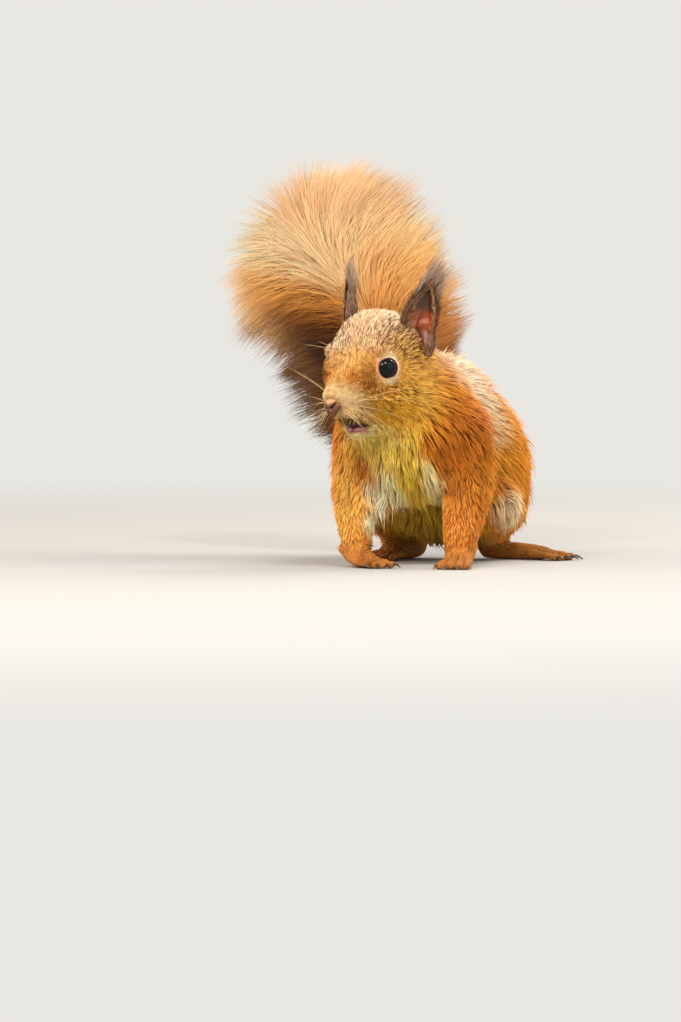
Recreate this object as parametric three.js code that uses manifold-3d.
// A life-size red squirrel, standing on straight forelegs with its hindquarters crouched,
// its head turned to its right and its tail raised behind it as a plume that leans the same way.
// The solids reach to the tips of the coat. Millimetres: +X is the animal's left, -Y is forward,
// +Z is up and the soles stand on Z = 0.
import * as THREE from "three";
import { mergeVertices } from "three/addons/utils/BufferGeometryUtils.js";
import Module from "manifold-3d";

const wasm = await Module();
wasm.setup();

// ---------------------------------------------------------------- driving dimensions
const GAP = 0.35; // thin cut between two sub-parts
const SHORTEST_EDGE = 0.02;
const REACH = 400; // larger than the animal, for the blocks that cut it
const HEAD_CELL = 5.3; // grid steps of the surfaces, coarser where the form is larger
const TRUNK_CELL = 11.5;
const LEG_CELL = 6.2;

// Trunk and thighs, as ellipsoids: a centre and half sizes.
const CHEST = { at: [0, -24, 62], half: [28, 32, 34] };
const BELLY = { at: [0, 33, 53], half: [31, 46, 45] };
const RUMP = { at: [0, 56, 45], half: [30, 31, 36] };
const THIGH = { at: [25, 45, 39], half: [15, 30, 31] };
const NECK = [[[0, -18, 76], 24], [[-7, -36, 88], 21]];
const TRUNK_BLEND = 12; // how softly the trunk's forms run into each other
const HEAD_BLEND = 8;
const LEG_BLEND = 4; // the lower legs keep a sharper edge against the body

// Legs, as points and radii at their joints, fur included.
const SHOULDER = { at: [22, -28, 62], radius: 15.5 };
const ELBOW = { at: [25.5, -27, 40], radius: 13 };
const WRIST = { left: [25, -40, 12], right: [-23, -41, 12], radius: 8.2 };
const KNEE = { at: [31, 21, 29], radius: 11 };
const ANKLE = { left: [15, 63, 10], right: [-17, 65, 10], radius: 6.5 };

// The head's own frame is the body's, moved between the eyes and turned.
const HEAD_AT = [-16, -54, 91];
const HEAD_YAW = -21.5; // degrees, to the animal's right
const EYE = { at: [13.8, -4.7, 0], radius: 5.6, faces: [0.88, -0.46, 0.05], lids: [4.5, 5.4] };
const NOSE = { at: [0, -28, -15.6], half: [4.2, 2.6, 3.4] };
const MOUTH = { corner: [-6, -24.8], upper: [-34, -22.6], lower: [-30, -33], half: 8.6 };
const TONGUE = { at: [0, -11, -27.4], half: [4.6, 6, 1.5] };

// Each ear: where its shell is rooted, where its tip is, and the way its cup opens.
const EARS = {
  left: { root: [15.4, 14, 9], tip: [24, 16, 38.5], opens: [0.72, -0.7, 0.05] },
  right: { root: [-17, 13, 11], tip: [-18.8, 15, 38.5], opens: [-0.8, -0.6, 0.05] },
};
const EAR_HALF_WIDTHS = [4, 7.2, 8.4, 8.2, 7, 4.6, 1.6]; // from root to tip
const EAR_WALL = 1.8;
const EAR_TUFT = { length: 12, radius: 3.2 };

// The tail: a plume broad across and shallow fore and aft, leaning to the animal's right.
const TAIL = {
  path: [
    [0, 78, 38], [-12, 90, 46], [-26, 98, 62], [-38, 103, 86], [-49, 105, 112],
    [-71, 112, 139], [-83, 130, 151], [-85, 155, 147], [-81, 175, 131],
  ],
  wide: [12, 20, 30, 41, 51, 58, 57, 51, 38, 12],
  deep: [10, 14, 18, 22, 26, 28, 28, 26, 21, 8],
  across: [0.6, 0, 0.8],
  sides: 12,
  steps: 13,
};
const TAIL_CUTS = [86, 138]; // heights at which the plume is divided

// Feet, in a frame of their own: the toes point along -Y and the sole lies on Z = 0.
const FOREPAW = {
  palm: [[0, 3.5, 14], [0, 2.5, 9], [0, -4, 4.4], [0, -10, 3.4]],
  wide: [8, 7.8, 7, 5.8],
  deep: [7.6, 6.6, 4.7, 3.8],
  digits: [-1.5, -0.5, 0.5, 1.5],
  spacing: 3.5,
  knuckle: -8,
  reach: 13,
};
const HINDPAW = {
  palm: [[0, 1, 14], [0, 1, 7], [0, -8, 4.6], [0, -22, 3.9], [0, -33, 3.4]],
  wide: [6.4, 6.2, 5.6, 5.4, 6.8],
  deep: [6.4, 5.6, 4.8, 4, 3.6],
  digits: [-2, -1, 0, 1, 2],
  spacing: 3,
  knuckle: -30,
  reach: 15,
};
const FEET = {
  forepaw_left: { shape: FOREPAW, at: [25, -40], turn: 2 },
  forepaw_right: { shape: FOREPAW, at: [-23, -41], turn: 42 },
  hindpaw_left: { shape: HINDPAW, at: [15, 63], turn: 72 },
  hindpaw_right: { shape: HINDPAW, at: [-17, 65], turn: -14 },
};
const DIGIT_RADIUS = 2.1;
const CLAW = { length: 5.5, radius: 0.95 };

// Seams between the parts of the body: a point and the direction that the cut-off part lies in.
const BEHIND_HEAD = { at: [0, 28, 20], faces: [0, -0.894, 0.447] }; // in the head's frame
const BEHIND_NECK = { at: [-4, -20, 84], faces: [-0.15, -0.8, 0.58] };
const WAIST = { at: [0, 6, 0], faces: [0, 1, 0] };
const BELOW_THIGH = { at: [0, 40, 24.5], faces: [0, -0.29, -0.957] };
const SHOULDER_SEAM = { from: 16.4, middle: [-27, 57], radius: 25.3 };
const HIP_SEAM = { from: 19, middle: [45, 42], radius: 37 };
const ELBOW_HEIGHT = 38;
const WRIST_HEIGHT = 10;
const ANKLE_HEIGHT = 9;

// ---------------------------------------------------------------- small helpers
const { clamp, lerp, degToRad } = THREE.MathUtils;
const vec = (p) => new THREE.Vector3(...p);
const mirrored = ([x, y, z]) => [-x, y, z];
const UP = new THREE.Vector3(0, 0, 1);
const SIDES = { left: 1, right: -1 };

// ---------------------------------------------------------------- fields
// A field is a function of a point that is negative inside the flesh, in about millimetres.

// An ellipsoid.
function ball({ at, half, turn = [0, 0, 0] }) {
  const centre = vec(at);
  const back = new THREE.Quaternion().setFromEuler(new THREE.Euler(...turn.map(degToRad))).invert();
  const [a, b, c] = half;
  const q = new THREE.Vector3();
  return (p) => {
    q.copy(p).sub(centre).applyQuaternion(back);
    const outer = Math.hypot(q.x / a, q.y / b, q.z / c);
    const slope = Math.hypot(q.x / (a * a), q.y / (b * b), q.z / (c * c));
    return slope < 1e-9 ? -Math.min(a, b, c) : (outer * (outer - 1)) / slope;
  };
}

// A tapered limb through stations, each a point and the limb's radius there.
function limb(...stations) {
  const bones = stations.slice(1).map(([end, endRadius], i) => {
    const [start, startRadius] = stations[i];
    const from = vec(start);
    const along = vec(end).sub(from);
    return { from, along, startRadius, endRadius, square: along.lengthSq() };
  });
  const q = new THREE.Vector3();
  return (p) => {
    let nearest = Infinity;
    for (const bone of bones) {
      q.copy(p).sub(bone.from);
      const t = clamp(q.dot(bone.along) / bone.square, 0, 1);
      const distance = q.addScaledVector(bone.along, -t).length();
      nearest = Math.min(nearest, distance - lerp(bone.startRadius, bone.endRadius, t));
    }
    return nearest;
  };
}

// Fields joined, with a fillet of about this softness where they meet.
function blended(softness, ...fields) {
  return (p) => {
    let joined = fields[0](p);
    for (const field of fields.slice(1)) {
      const other = field(p);
      const near = Math.max(softness - Math.abs(joined - other), 0) / softness;
      joined = Math.min(joined, other) - (near * near * softness) / 4;
    }
    return joined;
  };
}

const bothSides = (shape) => [ball(shape), ball({ ...shape, at: mirrored(shape.at) })];

// ---------------------------------------------------------------- surfaces
// A closed surface where the field is zero: one vertex in each grid cell that the surface
// crosses, slid onto it, and one quad round each grid edge that it crosses.
function surfaceOf(field, low, high, cell) {
  const inner = new THREE.Box3(vec(low), vec(high));
  const outside = new THREE.Vector3();
  const boxed = (p) => {
    const past = Math.max(...["x", "y", "z"].map((k) => Math.max(inner.min[k] - p[k], p[k] - inner.max[k])));
    return Math.max(field(p), past);
  };
  const count = [0, 1, 2].map((i) => Math.ceil((high[i] - low[i]) / cell) + 4);
  const corner = (i, j, k, out) => out.set(i - 1.5, j - 1.5, k - 1.5).multiplyScalar(cell).add(inner.min);
  const index = (i, j, k) => (k * count[1] + j) * count[0] + i;
  const value = new Float64Array(count[0] * count[1] * count[2]);
  for (let k = 0; k < count[2]; k++)
    for (let j = 0; j < count[1]; j++)
      for (let i = 0; i < count[0]; i++) value[index(i, j, k)] = boxed(corner(i, j, k, outside));

  const steps = [[1, 0, 0], [0, 1, 0], [0, 0, 1]];
  const positions = [];
  const vertexOf = new Map();
  const here = new THREE.Vector3();
  const there = new THREE.Vector3();
  const slope = new THREE.Vector3();
  const vertex = (i, j, k) => {
    const key = index(i, j, k);
    if (vertexOf.has(key)) return vertexOf.get(key);
    const mean = new THREE.Vector3();
    let crossings = 0;
    steps.forEach(([a, b, c], axis) => {
      for (const u of [0, 1])
        for (const v of [0, 1]) {
          const start = [i, j, k];
          start[(axis + 1) % 3] += u;
          start[(axis + 2) % 3] += v;
          const one = value[index(...start)];
          const two = value[index(start[0] + a, start[1] + b, start[2] + c)];
          if (one < 0 === two < 0) continue;
          corner(...start, here);
          corner(start[0] + a, start[1] + b, start[2] + c, there);
          mean.add(here.lerp(there, one / (one - two)));
          crossings++;
        }
    });
    mean.divideScalar(crossings);
    // Two short Newton steps slide the mean of the crossings onto the true surface.
    const tiny = 0.05;
    for (let pass = 0; pass < 2; pass++) {
      const level = boxed(mean);
      for (const k of ["x", "y", "z"]) {
        here.copy(mean)[k] += tiny;
        slope[k] = (boxed(here) - level) / tiny;
      }
      const pull = clamp(level / Math.max(slope.lengthSq(), 0.3), -cell / 3, cell / 3);
      mean.addScaledVector(slope, -pull);
    }
    positions.push(mean.x, mean.y, mean.z);
    vertexOf.set(key, positions.length / 3 - 1);
    return vertexOf.get(key);
  };

  const faces = [];
  const gap = (a, b) => Math.hypot(...[0, 1, 2].map((m) => positions[3 * a + m] - positions[3 * b + m]));
  for (let k = 1; k < count[2] - 1; k++)
    for (let j = 1; j < count[1] - 1; j++)
      for (let i = 1; i < count[0] - 1; i++)
        steps.forEach(([a, b, c], axis) => {
          const one = value[index(i, j, k)] < 0;
          const two = value[index(i + a, j + b, k + c)] < 0;
          if (one === two) return;
          const ring = [[0, 0], [1, 0], [1, 1], [0, 1]].map(([u, v]) => {
            const at = [i, j, k];
            at[(axis + 1) % 3] -= u;
            at[(axis + 2) % 3] -= v;
            return vertex(...at);
          });
          if (two) ring.reverse();
          const [p, q, r, s] = ring;
          if (gap(p, r) < gap(q, s)) faces.push(p, q, r, p, r, s);
          else faces.push(q, r, s, q, s, p);
        });
  const geometry = new THREE.BufferGeometry();
  geometry.setAttribute("position", new THREE.Float32BufferAttribute(positions, 3));
  geometry.setIndex(faces);
  return geometry;
}

// A closed loft along a path with elliptical sections: half sizes across and through it are
// spread evenly along the path, and `across` is the way its broad side faces at the start.
function loft({ path, wide, deep = wide, across = [1, 0, 0], sides = 8, steps = 8 }) {
  const curve = new THREE.CatmullRomCurve3(path.map(vec), false, "centripetal");
  const sizeAt = (sizes, t) => {
    const place = t * (sizes.length - 1);
    const first = Math.min(Math.floor(place), sizes.length - 2);
    return lerp(sizes[first], sizes[first + 1], place - first);
  };
  const positions = [];
  const side = vec(across);
  for (let ring = 0; ring <= steps; ring++) {
    const t = ring / steps;
    const centre = curve.getPointAt(t);
    const ahead = curve.getTangentAt(t);
    side.addScaledVector(ahead, -side.dot(ahead)).normalize();
    const through = ahead.clone().cross(side);
    for (let s = 0; s < sides; s++) {
      const angle = (2 * Math.PI * s) / sides;
      const p = centre.clone();
      p.addScaledVector(side, sizeAt(wide, t) * Math.cos(angle));
      p.addScaledVector(through, sizeAt(deep, t) * Math.sin(angle));
      positions.push(...p.toArray());
    }
  }
  const faces = [];
  for (let ring = 0; ring < steps; ring++)
    for (let s = 0; s < sides; s++) {
      const a = ring * sides + s;
      const b = ring * sides + ((s + 1) % sides);
      faces.push(a, b, b + sides, a, b + sides, a + sides);
    }
  const last = steps * sides;
  positions.push(...path[0], ...path[path.length - 1]);
  const [startPole, endPole] = [last + sides, last + sides + 1];
  for (let s = 0; s < sides; s++) {
    const next = (s + 1) % sides;
    faces.push(startPole, next, s, endPole, last + s, last + next);
  }
  const geometry = new THREE.BufferGeometry();
  geometry.setAttribute("position", new THREE.Float32BufferAttribute(positions, 3));
  geometry.setIndex(faces);
  return geometry;
}

// ---------------------------------------------------------------- solids
function solid(geometry) {
  const bare = geometry.clone();
  for (const name of ["normal", "uv"]) bare.deleteAttribute(name);
  const merged = mergeVertices(bare, 1e-4);
  return new wasm.Manifold(
    new wasm.Mesh({
      numProp: 3,
      vertProperties: merged.attributes.position.array,
      triVerts: new Uint32Array(merged.index.array),
    }),
  );
}

// The mesh of a solid, with edges too short to matter closed up and the faces on them dropped.
function geometryOf(made) {
  const mesh = made.getMesh();
  const loose = new THREE.BufferGeometry();
  loose.setAttribute("position", new THREE.BufferAttribute(mesh.vertProperties, 3));
  loose.setIndex(new THREE.BufferAttribute(mesh.triVerts, 1));
  const geometry = mergeVertices(loose, SHORTEST_EDGE);
  const corners = geometry.index.array;
  const kept = [];
  for (let i = 0; i < corners.length; i += 3) {
    const [a, b, c] = corners.slice(i, i + 3);
    if (a !== b && b !== c && c !== a) kept.push(a, b, c);
  }
  geometry.setIndex(kept);
  geometry.computeVertexNormals();
  return geometry;
}

const largest = (made) => made.decompose().sort((a, b) => b.volume() - a.volume())[0];

// Everything on the side of a plane that its normal points to.
function beyond(point, normal, shift = 0) {
  const face = vec(normal).normalize();
  const turn = new THREE.Quaternion().setFromUnitVectors(UP, face);
  const middle = vec(point).addScaledVector(face, REACH / 2 + shift);
  const box = new THREE.BoxGeometry(REACH, REACH, REACH).applyQuaternion(turn);
  return solid(box.translate(...middle.toArray()));
}

// A block between two corners.
function block(low, high, grown = 0) {
  const size = vec(high).sub(vec(low)).addScalar(2 * grown);
  const middle = vec(high).add(vec(low)).multiplyScalar(0.5);
  return solid(new THREE.BoxGeometry(...size.toArray()).translate(...middle.toArray()));
}

// A drum whose axis runs sideways from the body, for the round seams of shoulder and hip.
function drum(side, from, [y, z], radius, grown = 0) {
  const width = REACH / 4;
  const shape = new THREE.CylinderGeometry(radius + grown, radius + grown, width, 20);
  shape.rotateZ(Math.PI / 2).translate(side * (from - grown + width / 2), y, z);
  return solid(shape);
}

function ellipsoid({ at, half }, grown = 0) {
  const shape = new THREE.SphereGeometry(1, 9, 6).rotateX(Math.PI / 2);
  shape.scale(...half.map((h) => h + grown)).translate(...at);
  return solid(shape);
}

// ---------------------------------------------------------------- flesh
const headTurn = new THREE.Euler(0, 0, degToRad(HEAD_YAW));
const headMatrix = new THREE.Matrix4().makeRotationFromEuler(headTurn).setPosition(vec(HEAD_AT));
const headInverse = headMatrix.clone().invert();

const headFlesh = blended(
  5,
  ball({ at: [0, 12, 4], half: [21.5, 24, 23.5] }), // cranium
  ...bothSides({ at: [9.5, -3.5, 2], half: [9.3, 10, 10] }), // brows
  limb([[0, -6, -8], 13], [[0, -15, -9.5], 11], [[0, -23.5, -13], 7]), // snout
  ...bothSides({ at: [9.5, 3, -13], half: [12, 15, 11] }), // cheeks
  limb([[0, 4, -18], 12], [[0, -10, -24.5], 6]), // lower jaw
);

const trunkFlesh = blended(
  TRUNK_BLEND,
  ball(CHEST),
  ball(BELLY),
  ball(RUMP),
  limb(...NECK),
  ...bothSides(THIGH),
);

const onSide = (side, [x, y, z]) => [SIDES[side] * x, y, z];
const foreleg = (side) =>
  limb(
    [onSide(side, SHOULDER.at), SHOULDER.radius],
    [onSide(side, ELBOW.at), ELBOW.radius],
    [WRIST[side], WRIST.radius],
  );
const hindleg = (side) => limb([onSide(side, KNEE.at), KNEE.radius], [ANKLE[side], ANKLE.radius]);

const inHead = new THREE.Vector3();
const headInBody = (p) => headFlesh(inHead.copy(p).applyMatrix4(headInverse));
const flesh = blended(
  LEG_BLEND,
  blended(HEAD_BLEND, trunkFlesh, headInBody),
  ...["left", "right"].flatMap((side) => [foreleg(side), hindleg(side)]),
);
const inBody = new THREE.Vector3();
const fleshInHead = (p) => flesh(inBody.copy(p).applyMatrix4(headMatrix));

// ---------------------------------------------------------------- looks
const matte = (color) => new THREE.MeshStandardMaterial({ color, roughness: 0.95, metalness: 0 });
const glossy = (color, roughness) => new THREE.MeshStandardMaterial({ color, roughness, metalness: 0 });
const LOOKS = {
  russet: matte(0xb8602c),
  cream: matte(0xe6d5b4),
  plume: matte(0xd9a066),
  dark: matte(0x5b4238),
  eye: glossy(0x0a0808, 0.05),
  nose: glossy(0x8c6354, 0.5),
  tongue: glossy(0xd08f88, 0.4),
  claw: glossy(0x3a2e28, 0.4),
};

const BODY_LOOKS = { chest: "cream", abdomen: "cream" };

const squirrel = new THREE.Group();
const headFrame = new THREE.Group();
headFrame.position.set(...HEAD_AT);
headFrame.rotation.copy(headTurn);
squirrel.add(headFrame);

function place(parent, name, made, look) {
  const mesh = new THREE.Mesh(geometryOf(largest(made)), LOOKS[look]);
  mesh.name = name;
  parent.add(mesh);
}

// ---------------------------------------------------------------- head
// The gape: a wedge that opens forwards from the corner of the mouth.
function gape() {
  const wedge = new THREE.Shape([MOUTH.corner, MOUTH.upper, MOUTH.lower].map((p) => new THREE.Vector2(...p)));
  const shape = new THREE.ExtrudeGeometry(wedge, { depth: 2 * MOUTH.half, bevelEnabled: false });
  shape.translate(0, 0, -MOUTH.half);
  // The wedge is drawn in Y and Z: its own X becomes Y, its Y becomes Z and its depth X.
  shape.applyMatrix4(new THREE.Matrix4().makeBasis(vec([0, 1, 0]), vec([0, 0, 1]), vec([1, 0, 0])));
  return solid(shape);
}

function eyeball(side, grown = 0) {
  const shape = new THREE.SphereGeometry(EYE.radius + grown, 12, 8);
  return solid(shape.translate(...onSide(side, EYE.at)));
}

// The opening between the lids, flaring outwards from the eyeball.
function lids(side) {
  const length = 10;
  const shape = new THREE.CylinderGeometry(EYE.lids[1], EYE.lids[0], length, 14);
  shape.translate(0, length / 2, 0);
  const faces = vec(onSide(side, EYE.faces)).normalize();
  const turn = new THREE.Quaternion().setFromUnitVectors(vec([0, 1, 0]), faces);
  return solid(shape.applyQuaternion(turn).translate(...onSide(side, EYE.at)));
}

// A cupped shell with a wall of even thickness, open along one side, and a tuft of hair at its tip.
function ear(side) {
  const { root, tip, opens } = EARS[side];
  const rise = vec(tip).sub(vec(root));
  const across = rise.clone().cross(vec(opens)).normalize();
  const open = across.clone().cross(rise).normalize();
  const [columns, rows] = [6, EAR_HALF_WIDTHS.length - 1];
  const halfCup = degToRad(80);
  const sheet = (inward) => {
    const points = [];
    for (let row = 0; row <= rows; row++)
      for (let column = 0; column <= columns; column++) {
        const turn = halfCup * ((2 * column) / columns - 1);
        const reach = EAR_HALF_WIDTHS[row] - inward;
        const p = vec(root).addScaledVector(rise, row / rows);
        p.addScaledVector(across, reach * Math.sin(turn));
        p.addScaledVector(open, -reach * Math.cos(turn) + EAR_HALF_WIDTHS[row] / 2);
        points.push(...p.toArray());
      }
    return points;
  };
  const size = (columns + 1) * (rows + 1);
  const at = (row, column, inner) => inner * size + row * (columns + 1) + column;
  const faces = [];
  const quad = (a, b, c, d) => faces.push(a, c, b, a, d, c);
  for (let row = 0; row < rows; row++) {
    for (let column = 0; column < columns; column++) {
      quad(at(row, column, 0), at(row, column + 1, 0), at(row + 1, column + 1, 0), at(row + 1, column, 0));
      quad(at(row + 1, column, 1), at(row + 1, column + 1, 1), at(row, column + 1, 1), at(row, column, 1));
    }
    quad(at(row, 0, 0), at(row + 1, 0, 0), at(row + 1, 0, 1), at(row, 0, 1));
    quad(at(row, columns, 1), at(row + 1, columns, 1), at(row + 1, columns, 0), at(row, columns, 0));
  }
  for (let column = 0; column < columns; column++) {
    quad(at(0, column, 1), at(0, column + 1, 1), at(0, column + 1, 0), at(0, column, 0));
    quad(at(rows, column, 0), at(rows, column + 1, 0), at(rows, column + 1, 1), at(rows, column, 1));
  }
  const shell = new THREE.BufferGeometry();
  shell.setAttribute("position", new THREE.Float32BufferAttribute([...sheet(0), ...sheet(EAR_WALL)], 3));
  shell.setIndex(faces);
  const ahead = rise.clone().normalize();
  const points = [-6, -1, 4, EAR_TUFT.length].map((s) => vec(tip).addScaledVector(ahead, s).toArray());
  const tuft = loft({
    path: points,
    wide: [EAR_TUFT.radius, EAR_TUFT.radius, EAR_TUFT.radius * 0.7, 0.4],
    deep: [1.4, 1.8, 1.4, 0.3],
    across: across.toArray(),
    sides: 6,
    steps: 3,
  });
  return solid(shell).add(solid(tuft));
}

function buildHead() {
  const box = [[-32, -40, -40], [32, 40, 40]];
  const skull = solid(surfaceOf(fleshInHead, ...box, HEAD_CELL));
  const grownSkull = solid(surfaceOf((p) => fleshInHead(p) - 2 * GAP, ...box, 1.5 * HEAD_CELL));
  let head = skull.intersect(beyond(BEHIND_HEAD.at, BEHIND_HEAD.faces));
  head = head.subtract(ellipsoid(NOSE, GAP)).subtract(gape());
  for (const side of ["left", "right"]) {
    head = head.subtract(eyeball(side, GAP)).subtract(lids(side));
    place(headFrame, "eye_" + side, eyeball(side), "eye");
    place(headFrame, "ear_" + side, ear(side).subtract(grownSkull), "dark");
  }
  head = head.subtract(ellipsoid(TONGUE, GAP));
  place(headFrame, "tongue", ellipsoid(TONGUE), "tongue");
  place(headFrame, "nose", ellipsoid(NOSE), "nose");
  place(headFrame, "head", head, "russet");
}

// ---------------------------------------------------------------- feet
function curved(points, wide, deep, sides, steps) {
  return solid(loft({ path: points, wide, deep, across: [1, 0, 0], sides, steps }));
}

// The toes fan out a little and the middle ones reach farthest.
function digit({ spacing, knuckle, reach }, place) {
  const [near, far] = [place * spacing, place * spacing * 1.35];
  const tip = knuckle - reach * (1 - 0.045 * place * place);
  const joint = [(near + far) / 2, (knuckle + tip) / 2, 3];
  const path = [[near, knuckle + 3, 2.6], [near, knuckle, 2.6], joint, [far, tip, 1.3]];
  return { path, tip: path[3] };
}

const fromFoot = ({ at, turn }) =>
  new THREE.Matrix4().makeRotationZ(degToRad(turn)).setPosition(at[0], at[1], 0);

function buildFoot(name, foot, height) {
  const matrix = fromFoot(foot);
  const group = new THREE.Group();
  group.applyMatrix4(matrix);
  squirrel.add(group);
  const { palm, wide, deep, digits } = foot.shape;
  const radii = [DIGIT_RADIUS, DIGIT_RADIUS, DIGIT_RADIUS, DIGIT_RADIUS * 0.8];
  let paw = curved(palm, wide, deep, 9, 4);
  digits.forEach((offset, index) => {
    const { path, tip: [x, y, z] } = digit(foot.shape, offset);
    paw = paw.add(curved(path, radii, radii, 6, 3));
    // The claw arches up and over from the front of the toe and stops short of the floor.
    const ahead = (s, up) => [x + 0.12 * offset * s, y - s - 2.2 * GAP, z + up];
    const arch = [ahead(0, 0.4), ahead(CLAW.length * 0.5, 0.8), ahead(CLAW.length, -0.9)];
    const taper = [1, 0.7, 0.2].map((share) => share * CLAW.radius);
    place(group, name.replace("paw", "claw") + "_" + (index + 1), curved(arch, taper, taper, 5, 2), "claw");
  });
  place(group, name, paw.intersect(block([-REACH, -REACH, 0], [REACH, REACH, height - GAP])), "russet");
}

// ---------------------------------------------------------------- body
const halfSpace = ({ at, faces }) => (grown) => beyond(at, faces, -grown);
const both = (one, two) => (grown) => one(grown).intersect(two(grown));

// The seams in the order in which they are cut: name, cutter, the box and grid step of its surface.
function seams() {
  const at = vec(BEHIND_HEAD.at).applyMatrix4(headMatrix).toArray();
  const faces = vec(BEHIND_HEAD.faces).transformDirection(headMatrix).toArray();
  const list = [["head", halfSpace({ at, faces })]];
  for (const [side, s] of Object.entries(SIDES)) {
    const outer = ([x, y, z], [far, back, top]) => (grown) =>
      block([Math.min(s * x, s * far), y, z], [Math.max(s * x, s * far), back, top], grown);
    const round = ({ from, middle, radius }) => (grown) => drum(s, from, middle, radius, grown);
    const shin = both(halfSpace(BELOW_THIGH), outer([9, 4, ANKLE_HEIGHT], [70, 90, 60]));
    const forearm = outer([12, -70, WRIST_HEIGHT], [70, -8, ELBOW_HEIGHT]);
    const front = [[-60, -62, 3], [60, 6, 90]];
    const rear = [[-60, -6, 3], [60, 95, 90]];
    list.push(["forearm_" + side, forearm, front, LEG_CELL]);
    list.push(["upper_arm_" + side, round(SHOULDER_SEAM), front, 1.3 * LEG_CELL]);
    list.push(["shank_" + side, shin, rear, LEG_CELL]);
    list.push(["thigh_" + side, round(HIP_SEAM), rear, 0.9 * TRUNK_CELL]);
  }
  const everything = [[-50, -62, 3], [50, 95, 118]];
  list.push(["neck", halfSpace(BEHIND_NECK), everything, TRUNK_CELL]);
  list.push(["abdomen", halfSpace(WAIST), everything, TRUNK_CELL]);
  const rest = (grown) => block([-REACH, -REACH, 0], [REACH, REACH, REACH], grown);
  list.push(["chest", rest, everything, TRUNK_CELL]);
  return list;
}

function buildBody() {
  const done = [];
  const floorGap = block([-REACH, -REACH, ANKLE_HEIGHT], [REACH, REACH, REACH]);
  for (const [name, cutter, box, cell] of seams()) {
    if (box) {
      let piece = solid(surfaceOf(flesh, ...box, cell)).intersect(cutter(0)).intersect(floorGap);
      for (const earlier of done) piece = piece.subtract(earlier(GAP));
      place(squirrel, name, piece, BODY_LOOKS[name] ?? "russet");
    }
    done.push(cutter);
  }
}

// ---------------------------------------------------------------- tail
function buildTail() {
  const box = [[-60, 40, 3], [60, 95, 118]];
  const rump = solid(surfaceOf((p) => flesh(p) - 2 * GAP, ...box, TRUNK_CELL));
  let tail = solid(loft(TAIL)).subtract(rump);
  for (const [name, height] of [["tail_base", TAIL_CUTS[0]], ["tail_middle", TAIL_CUTS[1]]]) {
    const below = (grown) => block([-REACH, -REACH, -REACH], [REACH, REACH, height + grown]);
    place(squirrel, name, tail.intersect(below(0)), "plume");
    tail = tail.subtract(below(GAP));
  }
  place(squirrel, "tail_tip", tail, "plume");
}

buildHead();
buildBody();
buildTail();
for (const [name, foot] of Object.entries(FEET))
  buildFoot(name, foot, name.startsWith("fore") ? WRIST_HEIGHT : ANKLE_HEIGHT);

// The model's origin is on the floor, under the middle of its bounding box.
squirrel.updateMatrixWorld(true);
const bounds = new THREE.Box3().setFromObject(squirrel, true);
const middle = bounds.getCenter(new THREE.Vector3());
squirrel.position.set(-middle.x, -middle.y, 0);
export default squirrel;
